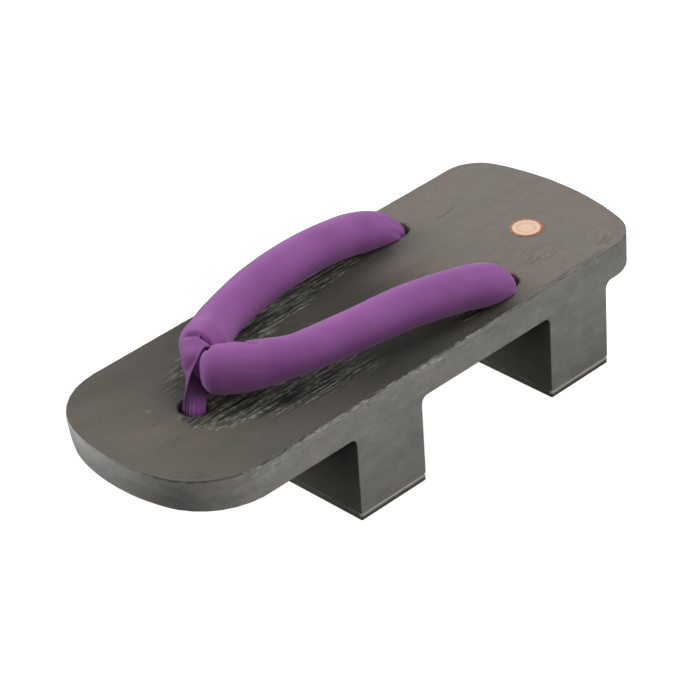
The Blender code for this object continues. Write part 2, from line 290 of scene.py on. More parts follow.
# Where the deck is deeply brushed, beside the straps: place along the deck in mm, the middle of the band, its
# half width towards the middle of the deck and towards the side, and its strength on the right and the left
ROUGH_BAND = (
    # along, middle, inner, outer, right, left
    (-94, 4, 3, 6, 0.9, 0.1),
    (-86, 5, 6, 14, 1, 0.2),
    (-70, 8, 8, 19, 1, 0.6),
    (-50, 16, 12, 18, 1, 1),
    (-25, 23, 13, 13, 0.7, 1),
    (-10, 26, 12.5, 11, 0.2, 1),
    (5, 28, 12, 10, 0, 1),
    (20, 30, 11, 9, 0.2, 1),
    (29, 31, 10, 9, 0.95, 1),
    (40, 31, 8, 8, 0.8, 0.9),
    (48, 31, 7, 7, 0.2, 0.7),
    (58, 31, 4, 6, 0, 0),
)
# How far the band's borders wander and streak, over how much of its two ends it fades, in mm, and the share
# of its inner half width that the left one has
ROUGH_WANDER, ROUGH_STREAKS, ROUGH_FADES, LEFT_INNER_SHARE = 3.0, 2.5, (7, 8), 0.85

# The burnt middle of the deck, with painted shadow of the straps beside them, by place along it in mm: how
# dark it is between the straps and outside them
BURN_AND_STRAP_SHADOW = (
    # along, inside, outside
    (-123, 0.47, 0.50),
    (-104, 0.52, 0.60),
    (-80, 0.68, 0.68),
    (-56, 0.80, 0.74),
    (-32, 0.92, 0.90),
    (-8, 0.96, 1),
    (4, 0.95, 1),
    (16, 0.88, 1),
    (28, 0.62, 1),
    (40, 0.32, 0.96),
    (50, 0.12, 0.40),
    (62, 0.04, 0.06),
    (123, 0, 0),
)
# How far across the deck, in mm, the inside turns into the outside on the right and on the left
BURN_SHADOW_RIGHT, BURN_SHADOW_LEFT = (20, 33), (9, 23)
BURN_SHADOW_CLOUDS = 0.14


def burn_and_shadow_share(x, y):
    """How dark the smooth wood is at a place on the deck, 0 to 1: burnt, and beside the straps partly painted
    shadow.
    """
    _, inside, outside = spline_by_first(BURN_AND_STRAP_SHADOW, y / MM)
    share = inside + (outside - inside) * (smooth(*BURN_SHADOW_RIGHT, x / MM) + smooth(*BURN_SHADOW_LEFT, -x / MM))
    cloud = BURN_SHADOW_CLOUDS * patches(x, 14, y, 30, 7.0)
    return min(max(share + cloud * min(share * 4, 1.0), 0.0), 1.0)


# The chips along the upper arris: where along the deck they begin, grow fewer and end, by what share fewer,
# and how far under the top they thin out and lie thickest, in mm
CHIPS_BEGIN, CHIPS_GROW_FEWER, CHIPS_END = (-104, -92), (10, 50), (92, 108)
CHIPS_FEWER, CHIPS_THIN_OUT, CHIPS_THICKEST = 0.75, (7.5, 0.6), (1.8, 0.4)
CHIP_DEPTH = 0.35 * MM


def chip_share(point, normal):
    """How chipped the upper arris is at a place, 0 to 1."""
    along, under = point.y / MM, (DECK_TOP - point.z) / MM
    zone = smooth(*CHIPS_BEGIN, along) * (1 - CHIPS_FEWER * smooth(*CHIPS_GROW_FEWER, along))
    zone *= 1 - smooth(*CHIPS_END, along)
    level = smooth(*CHIPS_THIN_OUT, under) * smooth(0.98, 0.8, normal.z)
    speck = patches(point.y, 5.0, point.z, 1.6, 21.0)
    speck += 0.6 * patches(point.y, 2.2, point.z, 1.0, 5.0)
    speck += 0.26 * smooth(*CHIPS_THICKEST, under)
    return zone * level * smooth(0.04, 0.32, speck)


# Scuffed places on the deck: along, across, reach along and across, in mm
SCUFFS = (
    (76, 26, 11, 7),
    (106, 38, 9, 4),
    (-20, -6, 10, 4),
)
# Dark strokes on the deck: along, across, along_end, across_end, half width, in mm
STROKES = (
    (60, 43.6, 78, 43.2, 0.50),
    (76, 43, 96, 43.6, 0.40),
    (97, 39.5, 106, 36.5, 0.45),
    (99, 41, 107, 38.8, 0.40),
    (67, 27, 76, 24.5, 0.40),
    (69, 29.2, 77, 27.4, 0.40),
    (-116, 26, -108, 36, 0.45),
    (-113.5, 25, -107, 33, 0.40),
    (-100, -2, -93, -6, 0.40),
    (-104, 12, -97, 9, 0.40),
    (20, 4, 40, 1.5, 0.40),
    (70, -22, 84, -24, 0.40),
)
STROKE_BOW, STROKE_STRENGTH = 0.8, 0.5


def scuff_share(x, y):
    """How scuffed the smooth wood is at a place on the deck, 0 to 1."""
    share = 0.0
    for along, across, reach_along, reach_across in SCUFFS:
        away = math.hypot((y / MM - along) / reach_along, (x / MM - across) / reach_across)
        share = max(share, 1 - smooth(0.4, 1.2, away))
    return share


def stroke_share(x, y):
    """How dark a scratch runs through a place on the deck, 0 to 1."""
    share = 0.0
    for y0, x0, y1, x1, width in STROKES:
        if not min(y0, y1) - 2 < y / MM < max(y0, y1) + 2:
            continue
        dx, dy = x1 - x0, y1 - y0
        t = ((x / MM - x0) * dx + (y / MM - y0) * dy) / (dx * dx + dy * dy)
        bow = STROKE_BOW * math.sin(math.pi * min(max(t, 0.0), 1.0))
        away = math.hypot(x / MM - x0 - t * dx - bow, y / MM - y0 - t * dy)
        ends = smooth(-0.05, 0.2, t) * smooth(1.05, 0.8, t)
        share = max(share, ends * smooth(width * 1.8, width * 0.4, away))
    return share


def hole_shade_share(point):
    """1 on the walls of the holes, which are painted near black as painted shade."""
    near = min(math.hypot(point.x - hole.x, point.y - hole.y) for hole in HOLES)
    return smooth(HOLE_RADIUS + 0.5 * MM, HOLE_RADIUS + 0.1 * MM, near)


# The toe end's painted sheen, a pale band of painted reflection: how far down it reaches, how much further on
# the left, in mm, and its least strength, which lightens the whole end
SHEEN_REACH, SHEEN_REACH_LEFT, SHEEN_IN_ALL = 5.5, 5.0, 0.42


def toe_sheen_share(point, normal):
    """How pale the toe's end is painted with sheen, 0 to 1: most on its left, above."""
    along, across, under = point.y / MM, point.x / MM, (DECK_TOP - point.z) / MM
    patch = 0.95 + 0.5 * noise.noise(Vector((point.x / (7 * MM), point.y / (7 * MM), point.z / (3 * MM))))
    upright = smooth(0.9, 0.5, normal.z)
    reach = SHEEN_REACH + SHEEN_REACH_LEFT * smooth(-20, -38, across) + 2.0 * (patch - 1)
    band = smooth(reach + 4.0, reach - 3.5, under) * upright
    band *= smooth(-92, -106, along) * smooth(20, -20, across) * min(max(patch, 0.0), 1.0)
    return max(band, SHEEN_IN_ALL * smooth(-94, -112, along) * upright * smooth(24, 2, across))


def rough_share(x, y):
    """How deeply the wood is brushed at a place on the deck, 0 to 1."""
    along, across = y / MM, abs(x) / MM
    if not ROUGH_BAND[0][0] < along < ROUGH_BAND[-1][0]:
        return 0.0
    _, middle, inner, outer, right, left = spline_by_first(ROUGH_BAND, along)
    wander = ROUGH_WANDER * patches(x, 9, y, 24, 3.0)
    streak = ROUGH_STREAKS * patches(x, 1.6, y, 14, 13.0)
    away = across - middle + wander + streak
    reach = outer if away > 0 else inner * (LEFT_INNER_SHARE if x < 0 else 1.0)
    ends = smooth(ROUGH_BAND[0][0], ROUGH_BAND[0][0] + ROUGH_FADES[0], along)
    ends *= smooth(ROUGH_BAND[-1][0], ROUGH_BAND[-1][0] - ROUGH_FADES[1], along)
    strength = left + (right - left) * smooth(-4, 4, x / MM)
    return (1 - smooth(reach * 0.62, reach * 1.10, abs(away))) * ends * min(max(strength, 0.0), 1.0)


def grain_height(x, y):
    """The brushed grain, about -1 in the grooves to 0 on the ridges."""
    sway = 1.6 * patches(x, 30, y, 60, 9.0)
    across = x / GROOVE_ACROSS + sway
    ridge = noise.noise(Vector((across, y / GROOVE_ALONG, 0.5)))
    fine = noise.noise(Vector((across * 2.3, y / (11 * MM), 4.5)))
    groove = smooth(-0.05, 0.5, -ridge) + 0.55 * smooth(0.0, 0.5, fine)
    return -min(groove, 1.0)


def carve(point, normal):
    """The carved surface at a point of the block: how far it moves out, and what the material reads."""
    x, y = point.x, point.y
    ragged = 0.5 * MM * patches(x, 3, y, 4, 31.0)
    top = smooth(DECK_TOP - 1.0 * MM, DECK_TOP - 0.25 * MM, point.z + ragged)
    rough = rough_share(x, y) * smooth(0.3, 0.95, normal.z)
    height = grain_height(x, y)
    chip = chip_share(point, normal)
    faint = 0.05 * MM * patches(x, 3, y, 30, point.z / (3 * MM))
    # Painted shade on the teeth's faces towards the toe, which lie under the deck's overhang
    front_top = DECK_TOP - FRONT_SHADE_UNDER
    front = smooth(-0.5, -0.8, normal.y) * smooth(front_top, front_top - 1 * MM, point.z)
    # Dark scratches on top, and painted shade on the holes' walls
    dark = max(STROKE_STRENGTH * stroke_share(x, y) * top, hole_shade_share(point))
    readings = {"rough": rough, "groove": -height, "top": top, "chip": chip, "burn_and_shadow": burn_and_shadow_share(x, y),
                # painted sheen on the toe's end
                "toe_sheen": toe_sheen_share(point, normal), "scuff": scuff_share(x, y) * top, "front": front,
                "dark": dark}
    off_ridge = min(abs(DECK_TOP - point.z - TOE_RIDGE_UNDER) / TOE_RIDGE_REACH, 1.0)
    toe_face = smooth(TOE_Y + 40 * MM, TOE_Y + 25 * MM, y) * smooth(0.5, 0.2, abs(normal.z))
    round_off = toe_face * TOE_RIDGE_ROUND * (1 - off_ridge) ** 2
    return rough * GROOVE_DEPTH * height + faint - chip * CHIP_DEPTH - round_off, readings


def add_block():
    """The block with its brushed grain as real relief."""
    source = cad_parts["platform"]
    bm = bmesh.new()
    bm.from_mesh(source.data)
    bmesh.ops.remove_doubles(bm, verts=bm.verts, dist=WELD_WITHIN)
    flat = math.radians(FLAT_WITHIN_DEGREES)
    bmesh.ops.dissolve_limit(bm, angle_limit=flat, verts=bm.verts, edges=bm.edges)

    def cut(axis, low, high, step):
        count = round((high - low) / step)
        normal = Vector([1.0 if k == axis else 0.0 for k in range(3)])
        for i in range(1, count):
            place = normal * (low + (high - low) * i / count)
            faces = [f for f in bm.faces if f.calc_center_median().z > FINE_ABOVE]
            edges = {e for f in faces for e in f.edges}
            verts = {v for f in faces for v in f.verts}
            bmesh.ops.bisect_plane(bm, geom=[*faces, *edges, *verts], plane_co=place, plane_no=normal)

    cut(1, TOE_Y, HEEL_Y, GRAIN_STEP_ALONG)
    cut(0, -HALF_WIDTH, HALF_WIDTH, GRAIN_STEP_ACROSS)
    cut(2, DECK_TOP - GRAIN_DEEP, DECK_TOP, GRAIN_STEP_DOWN)
    bmesh.ops.triangulate(bm, faces=[f for f in bm.faces if len(f.verts) > 4])
    bm.normal_update()
    bm.verts.ensure_lookup_table()
    carved = [carve(vert.co, vert.normal) for vert in bm.verts]
    for vert, (out, _) in zip(bm.verts, carved):
        if vert.co.z > FINE_ABOVE:
            vert.co += vert.normal * out
    block = new_object("carved_block", bm, BLOCK_SHARP_DEGREES)
    for name in carved[0][1]:
        values = [readings[name] for _, readings in carved]
        block.data.attributes.new(name, "FLOAT", "POINT").data.foreach_set("value", values)
    shade_round_ends(block.data)
    block.data.materials.append(wood_material())
    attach(block, "root")
    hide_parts("platform")


def shade_round_ends(mesh):
    """Shades the block's round ends as smooth curves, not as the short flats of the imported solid."""
    flats = []
    level = DECK_TOP - ENDS_SAMPLED_UNDER
    for face in mesh.polygons:
        if abs(face.normal.z) < 0.1 and abs(level - face.center.z) < GRAIN_STEP_DOWN:
            flats.append((face.center.copy(), face.normal.copy(), face.area))
    tree = KDTree(len(flats))
    for i, (place, _, _) in enumerate(flats):
        tree.insert((place.x, place.y, 0), i)
    tree.balance()
    known = {}
    corners = [Vector((0, 0, 0))] * len(mesh.loops)
    for face in mesh.polygons:
        on_side = abs(face.normal.z) <= 0.4 and face.center.z >= DECK_TOP - GRAIN_DEEP
        if not on_side or abs(face.center.y) < ENDS_FROM:
            continue
        for loop in face.loop_indices:
            vert = mesh.loops[loop].vertex_index
            if vert not in known:
                place = mesh.vertices[vert].co
                total = Vector((0, 0, 0))
                for _, i, away in tree.find_range((place.x, place.y, 0), ENDS_REACH):
                    total += flats[i][1] * (flats[i][2] * (1 - away / ENDS_REACH))
                total.z = 0
                if total.length > 0:
                    up = mesh.vertices[vert].normal.z
                    total = total.normalized() * math.sqrt(max(1 - up * up, 0.0))
                    total.z = up
                known[vert] = total
            corners[loop] = known[vert]
    mesh.normals_split_custom_set(corners)


# The wood's colours. Clouds mix each pair.
PALE_TOP = (0.192, 0.180, 0.154), (0.208, 0.172, 0.152)
# The burnt colour is also laid as painted shadow beside the straps
BURNT_AND_SHADED_TOP = (0.042, 0.043, 0.032), (0.052, 0.047, 0.037)
SIDE_WOOD = (0.470, 0.458, 0.420), (0.525, 0.500, 0.455)
# The last of these is painted shade for the teeth's faces towards the toe
SIDE_DARK, SIDE_LIGHT, TOOTH_FRONT_SHADE = (0.20, 0.20, 0.17), (0.85, 0.83, 0.77), (0.20, 0.20, 0.17)
BRUSHED_RIDGE = (0.095, 0.099, 0.076), (0.285, 0.293, 0.242)
# The last of these is painted shade in the grooves of the brushed wood
BETWEEN_RIDGES, CRACK, GROOVE_SHADE = (0.030, 0.031, 0.022), (0.012, 0.012, 0.008), (0.014, 0.014, 0.010)
SPLINTER = (0.36, 0.36, 0.31), (0.98, 0.96, 0.88)
# What lies over the wood: colour and strength
GRAIN_LINES = (0.045, 0.042, 0.035), 0.07
DARK_MARKS = (0.05, 0.046, 0.04), 0.13
PALE_MARKS = (0.42, 0.39, 0.35), 0.035
BLOTCHES = (0.06, 0.06, 0.045), 0.09
SCORED = (0.045, 0.040, 0.036), 0.40
RUBBED = (0.45, 0.43, 0.39), 0.16
# The next colour is painted sheen on the toe's end
TOE_SHEEN = (0.72, 0.72, 0.695), 0.85
# The next colour is for dark scratches and for painted shade on the holes' walls
BLACK_STROKES_AND_HOLE_SHADE = (0.022, 0.020, 0.016), 0.80


def wood_material():
    """Burnt and brushed softwood: dark brown on top, darkest in the middle, paler grey on the sides."""
    s = Shade("burnt_wood")
    grain = s.noise((230, 12, 230), detail=3, rough=0.5, distortion=1.0)
    marks = s.noise((420, 130, 420), detail=3, rough=0.55, distortion=2.2, turn=(0, 0, 0.45))
    cloud = s.noise((60, 38, 60), detail=3)
    blotch = s.noise((190, 130, 230), detail=4, rough=0.6)
    fine = s.noise((1150, 85, 1150), detail=3, rough=0.65)
    crack = s.noise((900, 38, 900), detail=2, rough=0.5)
    wool = s.noise((1700, 380, 1700), detail=2, rough=0.6, turn=(0, 0, 0.12))
    scratch = s.noise((1100, 210, 1100), detail=2, rough=0.5, distortion=0.8, turn=(0, 0, -0.2))
    names = ("rough", "groove", "top", "chip", "burn_and_shadow", "toe_sheen", "scuff", "front", "dark")
    rough, groove, top, chip, burn_and_shadow, toe_sheen, scuff, front, black = (s.attribute(name) for name in names)
    pale = s.mix(s.ramp(cloud, 0.35, 0.65), *PALE_TOP)
    burnt_and_shaded = s.mix(s.ramp(cloud, 0.35, 0.65), *BURNT_AND_SHADED_TOP)
    # Burnt wood, and painted shadow beside the straps
    upper = s.mix(burn_and_shadow, pale, burnt_and_shaded)
    side = s.mix(s.ramp(cloud, 0.3, 0.7), *SIDE_WOOD)
    side = s.lay(side, s.ramp(blotch, 0.50, 0.72), SIDE_DARK, 0.16)
    side = s.lay(side, s.ramp(blotch, 0.46, 0.28), SIDE_LIGHT, 0.14)
    # Painted shade on the teeth's faces towards the toe
    side = s.mix(front, side, TOOTH_FRONT_SHADE)
    base = s.mix(top, side, upper)
    base = s.lay(base, s.ramp(grain, 0.45, 0.7), *GRAIN_LINES)
    base = s.lay(base, s.ramp(marks, 0.54, 0.70), *DARK_MARKS)
    base = s.lay(base, s.ramp(marks, 0.46, 0.32), *PALE_MARKS)
    base = s.lay(base, s.ramp(blotch, 0.35, 0.65), *BLOTCHES)
    base = s.lay(base, s.maths("MULTIPLY", s.ramp(scratch, 0.55, 0.66), scuff), *SCORED)
    base = s.lay(base, s.maths("MULTIPLY", s.ramp(scratch, 0.45, 0.34), scuff), *RUBBED)
    ridge = s.mix(s.ramp(wool, 0.42, 0.62), *BRUSHED_RIDGE)
    deep = s.mix(s.ramp(fine, 0.41, 0.56), BETWEEN_RIDGES, ridge)
    deep = s.lay(deep, s.ramp(crack, 0.44, 0.37), CRACK, 0.85)
    # Painted shade, darker the deeper the groove
    deep = s.lay(deep, groove, GROOVE_SHADE, 0.30)
    frayed = s.maths("MULTIPLY", s.maths("SUBTRACT", fine, 0.5), 1.3)
    base = s.mix(s.ramp(s.maths("ADD", rough, frayed), 0.22, 0.80), base, deep)
    splinter = s.mix(s.ramp(wool, 0.40, 0.58), *SPLINTER)
    base = s.lay(base, chip, splinter, 0.80)
    # Painted sheen on the toe's end
    base = s.lay(base, toe_sheen, *TOE_SHEEN)
    # Dark scratches, and painted shade on the holes' walls
    base = s.lay(base, black, *BLACK_STROKES_AND_HOLE_SHADE)
    s.colour(base)
    s.roughness(s.maths("ADD", s.maths("MULTIPLY", marks, 0.25), 0.45))
    s.shader.inputs["Specular IOR Level"].default_value = 0.35
    coarse = s.maths("ADD", s.maths("MAXIMUM", rough, chip), 0.10)
    relief = s.maths("MULTIPLY", fine, coarse)
    scratches = s.maths("MULTIPLY", scratch, scuff)
    s.bump((relief, 0.30 * MM), (scratches, 0.10 * MM), (marks, 0.06 * MM))
    return s.material


# The straps: place along the deck, across it and above it, and half sizes, in mm. The numbers follow the
# joint, the span over the foot and the rear holes. The left strap is a little lower behind the joint.
RIGHT_ROWS = (
    # along, across, up, height, breadth
    (-71.0, 5.7, 13.6, 10.0, 7.8),
    (-64.0, 10.4, 13.4, 9.9, 8.5),
    (-56.0, 15.0, 13.3, 9.1, 8.2),
    (-45.0, 20.1, 13.6, 7.8, 7.9),
    (-23.4, 25.3, 14.4, 8.1, 8.2),
    (2.4, 28.6, 13.8, 8.5, 8.5),
    (26.3, 31.2, 10.2, 8.5, 8.7),
    (38.0, 31.7, 6.9, 8.7, 9.1),
    (45.0, 31.4, 3.9, 8.0, 8.9),
    (48.8, 31.2, 1.4, 6.6, 8.4),
)
LEFT_ROWS = (
    # along, across, up, height, breadth
    (-71.0, 5.4, 13.9, 9.4, 6.7),
    (-66.0, 9.2, 14.7, 9.9, 9.3),
    (-59.1, 13.5, 13.9, 9.0, 8.8),
    (-47.2, 19.4, 13.5, 8.4, 8.4),
    (-23.4, 25.1, 14.0, 8.4, 8.6),
    (2.4, 28.4, 13.1, 8.3, 8.6),
    (26.3, 30.9, 9.1, 8.2, 8.7),
    (38.0, 31.1, 6.0, 8.2, 9.0),
    (46.0, 30.5, 3.3, 7.6, 8.7),
    (50.5, 29.8, 1.0, 6.4, 8.0),
)
STRAP_RINGS, STRAP_SIDES, CAP_RINGS, CURVE_STEPS = 220, 90, 14, 40
# 1 spaces the rings evenly, and less crowds them at the front
RINGS_AT_FRONT = 0.4
# How far the round ends reach, in half heights, how blunt they are, and how soon lumps fade on them
FRONT_REACH, REAR_REACH, END_BLUNTNESS, END_FADE = 0.8, 0.55, 0.66, 1.6
# The strap flattens where it comes this near to its least height above the deck
DECK_CLEARANCE, FLATTENS_WITHIN = 0.35 * MM, 1.2 * MM
# Lumps in the padding: height in mm, size
LUMPS = ((0.14, 22 * MM), (0.03, 5 * MM))

# Creases in the padding: which strap, where each starts and ends along the deck in mm and as an angle around
# the strap (0 is the outer side, 90 the top, 180 the inner side), depth and half width in mm
CREASES = (
    # side, along, angle, along_end, angle_end, depth, width
    (1, -62.4, 170, -60.4, 92, 3.4, 1.3),
    (1, -67.0, 140, -62.5, 118, 0.5, 1.2),
    (1, -70.0, 140, -74.2, 100, 1.1, 0.6),
    (1, -71.0, 62, -60.0, 44, 0.16, 1.2),
    (1, -72.0, 44, -61.0, 28, 0.12, 1.0),
    (1, -72.0, 28, -58.0, 10, 0.18, 1.2),
    (1, -71.0, 4, -57.0, -10, 0.14, 1.4),
    (1, 47.0, 60, 56.0, 40, 0.35, 1.0),
    (1, 46.0, 110, 56.0, 100, 0.35, 1.0),
    (1, 46.0, 10, 56.0, 20, 0.35, 1.0),
    (-1, -63.0, 205, -58.0, 160, 0.3, 1.4),
    (-1, -60.0, 186, -50.0, 172, 0.12, 1.5),
    (-1, -64.0, 130, -57.0, 118, 0.08, 1.4),
    (-1, 47.0, 120, 56.0, 140, 0.35, 1.0),
    (-1, 46.0, 160, 56.0, 165, 0.35, 1.0),
    (-1, 46.0, 75, 56.0, 90, 0.3, 1.0),
)
SEAM_ANGLE, SEAM_DEPTH, SEAM_WIDTH = 262, 0.5, 0.9
# Where the toe loop's far border presses into the left strap: angle around the strap, place along the deck
TUCK_LINE = (
    # angle, along
    (20.0, -73.5),
    (62.0, -71.2),
    (104.0, -69.3),
    (138.0, -68.7),
    (200.0, -68.4),
)
TUCK_STEP, TUCK_GAP, TUCK_GAP_WIDTH = 1.7, 2.6, 0.6
# The angles over which it comes in and goes out, and how far in front of the border it fades, in mm
TUCK_COMES_IN, TUCK_GOES_OUT, TUCK_FADES = (34, 70), (150, 190), (3.5, 8.0)


def tuck_depth(along, angle):
    """How far the left strap is pressed in under the toe loop, in mm."""
    line = spline_by_first(TUCK_LINE, angle)[1]
    share = smooth(*TUCK_COMES_IN, angle) * (1 - smooth(*TUCK_GOES_OUT, angle))
    pressed = TUCK_STEP * (1 - smooth(line - 0.5, line + 0.1, along))
    pressed *= 1 - smooth(*TUCK_FADES, line - along)
    return share * (pressed + TUCK_GAP * bump_at(along, line - 0.35, TUCK_GAP_WIDTH))


def strap_centre(side, row):
    along, across, up = row[:3]
    return Vector((side * across * MM, along * MM, DECK_TOP + up * MM))


def crease_depth(side, along, angle, radius):
    """How far the padding dips at a place, from the table of creases, in metres."""
    dip = 0.0
    for which, a0, g0, a1, g1, depth, width in CREASES:
        if which != side:
            continue
        dx, dy = a1 - a0, math.radians(g1 - g0) * radius
        px, py = along - a0, math.radians(angle - g0) * radius
        t = (px * dx + py * dy) / (dx * dx + dy * dy)
        held = min(max(t, 0.0), 1.0)
        away = math.hypot(px - held * dx, py - held * dy)
        fullness = 0.35 + 0.65 * math.sin(math.pi * min(max(t, 0.08), 0.92))
        dip += depth * math.exp(-(away / width) ** 2) * fullness
    arc = (angle - SEAM_ANGLE + 180) % 360 - 180
    dip += SEAM_DEPTH * bump_at(math.radians(arc) * radius, 0, SEAM_WIDTH)
    if side < 0:
        dip += tuck_depth(along, angle)
    return dip * MM


def strap_points(side):
    """The rings of one padded strap, front to rear, and each point's place on the cloth in mm."""
    rows = RIGHT_ROWS if side > 0 else LEFT_ROWS
    fine = [spline(rows, i / CURVE_STEPS) for i in range(CURVE_STEPS * (len(rows) - 1) + 1)]
    lengths = [0.0]
    for a, b in zip(fine, fine[1:]):
        lengths.append(lengths[-1] + (strap_centre(1, b) - strap_centre(1, a)).length)
    stations, k = [], 0
    for i in range(STRAP_RINGS + 1):
        share = i / STRAP_RINGS
        wanted = lengths[-1] * (RINGS_AT_FRONT * share + (1 - RINGS_AT_FRONT) * share ** 2)
        while k < len(lengths) - 2 and lengths[k + 1] < wanted:
            k += 1
        share = (wanted - lengths[k]) / (lengths[k + 1] - lengths[k])
        stations.append([a + (b - a) * share for a, b in zip(fine[k], fine[k + 1])])
    centres = [strap_centre(side, row) for row in stations]
    rings = []

    def ring(centre, outward, upward, row, share, cloth):
        points = []
        for j in range(STRAP_SIDES):
            angle = 360 * j / STRAP_SIDES
            turn = math.radians(angle)
            direction = outward * math.cos(turn) * row[4] + upward * math.sin(turn) * row[3]
            unit = direction.normalized()
            point = centre + direction * (MM * share)
            lumps = sum(height * noise.noise(point / size) for height, size in LUMPS)
            dip = crease_depth(side, point.y / MM, angle, row[3])
            point = point + unit * (lumps * MM - dip) * min(share * END_FADE, 1.0)
            least = DECK_TOP + DECK_CLEARANCE
            if point.z < least + FLATTENS_WITHIN:
                over = point.z - least - FLATTENS_WITHIN
                point.z = least + FLATTENS_WITHIN * math.exp(over / FLATTENS_WITHIN)
            points.append((point, (cloth, math.radians(angle) * row[3])))
        return points

    for i, (centre, row) in enumerate(zip(centres, stations)):
        along = (centres[min(i + 1, STRAP_RINGS)] - centres[max(i - 1, 0)]).normalized()
        across = along.cross(Vector((0, 0, 1))).normalized()
        upward = across.cross(along)
        outward = across * side
        cloth = row[0]

        def cap(direction, reach):
            made = []
            for step in range(1, CAP_RINGS + 1):
                turn = math.pi / 2 * step / (CAP_RINGS + 0.5)
                share = math.cos(turn) ** END_BLUNTNESS
                shift = math.sin(turn) * reach * row[3]
                made.append(ring(centre + direction * (shift * MM), outward, upward, row, share,
                                 cloth + (shift if direction.dot(along) > 0 else -shift)))
            return made

        if i == 0:
            rings += cap(-along, FRONT_REACH)[::-1]
        rings.append(ring(centre, outward, upward, row, 1.0, cloth))
        if i == STRAP_RINGS:
            rings += cap(along, REAR_REACH)
    return rings


def skin(name, rings, smooth_degrees=60):
    """A closed mesh over rings of (point, place on the cloth), with a UV map in mm."""
    bm = bmesh.new()
    layer = bm.loops.layers.uv.new("cloth")
    loops = [[bm.verts.new(point) for point, _ in ring] for ring in rings]
    count = len(rings[0])
    for r in range(len(rings) - 1):
        step = rings[r][1][1][1] - rings[r][0][1][1]
        for i in range(count):
            j = (i + 1) % count
            face = bm.faces.new((loops[r][i], loops[r][j], loops[r + 1][j], loops[r + 1][i]))
            low, high = rings[r][i][1][1], rings[r][i][1][1] + step
            here, there = rings[r][i][1][0], rings[r + 1][i][1][0]
            for corner, place in zip(face.loops, ((here, low), (here, high), (there, high), (there, low))):
                corner[layer].uv = place
    bm.faces.new(loops[0][::-1])
    bm.faces.new(loops[-1])
    bmesh.ops.recalc_face_normals(bm, faces=bm.faces)
    return new_object(name, bm, smooth_degrees)


# The cloths' two tones and, for the loop, a dark colour painted on its inner face as shade
STRAP_COTTON = (0.262, 0.082, 0.290), (0.302, 0.101, 0.334)
LOOP_COTTON = (0.222, 0.070, 0.248), (0.260, 0.087, 0.288), (0.085, 0.030, 0.098)
THREAD_MM = 0.34


def cloth_material(name, low, high, inner=None):
    """Fine plain-woven cotton with a soft sheen, and painted shade on the loop's inner face where a dark
    colour is given.
    """
    s = Shade(name)
    mottle = s.noise((60, 60, 60), detail=3)
    fibre = s.noise((1500, 1500, 1500), detail=2)
    base = s.mix(s.ramp(mottle, 0.3, 0.7), low, high)
    base = s.lay(base, s.ramp(fibre, 0.5, 0.8), tuple(c * 1.5 for c in high), 0.18)
    if inner:
        # Painted shade on the loop's inner face, in the hollow between the straps' ends
        base = s.mix(s.attribute("inside"), base, inner)
    s.colour(base)
    s.shader.inputs["Roughness"].default_value = 0.85
    s.shader.inputs["Specular IOR Level"].default_value = 0.25
    s.shader.inputs["Sheen Weight"].default_value = 0.35
    s.shader.inputs["Sheen Roughness"].default_value = 0.5
    s.shader.inputs["Sheen Tint"].default_value = (0.85, 0.6, 0.9, 1)
    warp = s.cloth_wave("X", THREAD_MM)
    weft = s.cloth_wave("Y", THREAD_MM)
    s.bump((s.maths("MULTIPLY", warp, weft), 0.015 * MM), (fibre, 0.05 * MM))
    return s.material


def add_straps():
    """Both padded straps, which meet side by side under the toe loop."""
    cloth = cloth_material("strap_cotton", *STRAP_COTTON)
    made = []
    for side, name in ((1, "right_strap"), (-1, "left_strap")):
        strap = skin(name, strap_points(side))
        strap.data.materials.append(cloth)
        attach(strap, "root")
        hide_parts("thong_straps")
        made.append(strap)
    return made


# The toe loop's front: a strip folded over. Its outer face lies on the left strap's end, from the far border
# to the fold. From the fold its inner face runs back under the right strap's end. The rows go from the hole
# up to the dip between the straps. Places in mm, up from the deck's top, and how far the outer face bows out.
LOOP_ROWS = (
    # far x, y, up; fold x, y, up; middle x, y, up; end x, y, up; bow
    (-4.2, -78.4, -8.0, -2.0, -84.2, -8.0, 3.2, -84.2, -8.0, 5.0, -79.2, -8.0, 0.3),
    (-4.2, -78.6, -0.5, -2.1, -84.6, -0.5, 3.3, -84.6, -0.5, 5.2, -79.2, -0.5, 0.3),
    (-4.4, -78.6, 3.4, -2.0, -83.8, 3.4, 2.0, -82.6, 3.6, 4.4, -78.2, 4.0, 0.3),
    (-5.0, -78.2, 7.7, -1.4, -82.5, 7.7, -1.2, -79.8, 7.4, 1.6, -75.6, 6.4, 0.3),
    (-6.9, -77.6, 11.6, -1.3, -80.3, 12.5, -2.3, -77.6, 12.0, -0.6, -73.4, 11.0, 0.2),
    (-9.3, -76.4, 15.0, -0.5, -78.5, 16.3, -1.7, -76.2, 16.0, -0.4, -72.4, 15.4, 0.2),
    (-11.2, -74.6, 18.6, 0.0, -76.5, 19.8, -0.8, -74.8, 19.4, 0.4, -71.8, 18.6, 0.2),
    (-12.6, -72.2, 21.6, -0.1, -73.7, 22.1, -0.2, -72.7, 21.4, 1.0, -70.8, 20.0, 0.2),
    (-9.0, -71.2, 23.8, 0.5, -72.2, 22.2, 0.8, -71.6, 21.4, 1.8, -70.6, 20.0, 0.2),
    (-4.4, -70.6, 22.9, 0.9, -71.4, 21.8, 1.4, -71.0, 21.2, 2.2, -70.4, 20.0, 0.1),
    (-1.2, -70.6, 21.2, 1.1, -70.8, 21.4, 1.6, -70.7, 20.9, 2.4, -70.3, 20.0, 0.1),
)
LOOP_STEPS, OUTER_COLUMNS, INNER_COLUMNS = 9, 30, 26
LOOP_OFFSET, LOOP_CLOTH = 0.34 * MM, 0.4 * MM
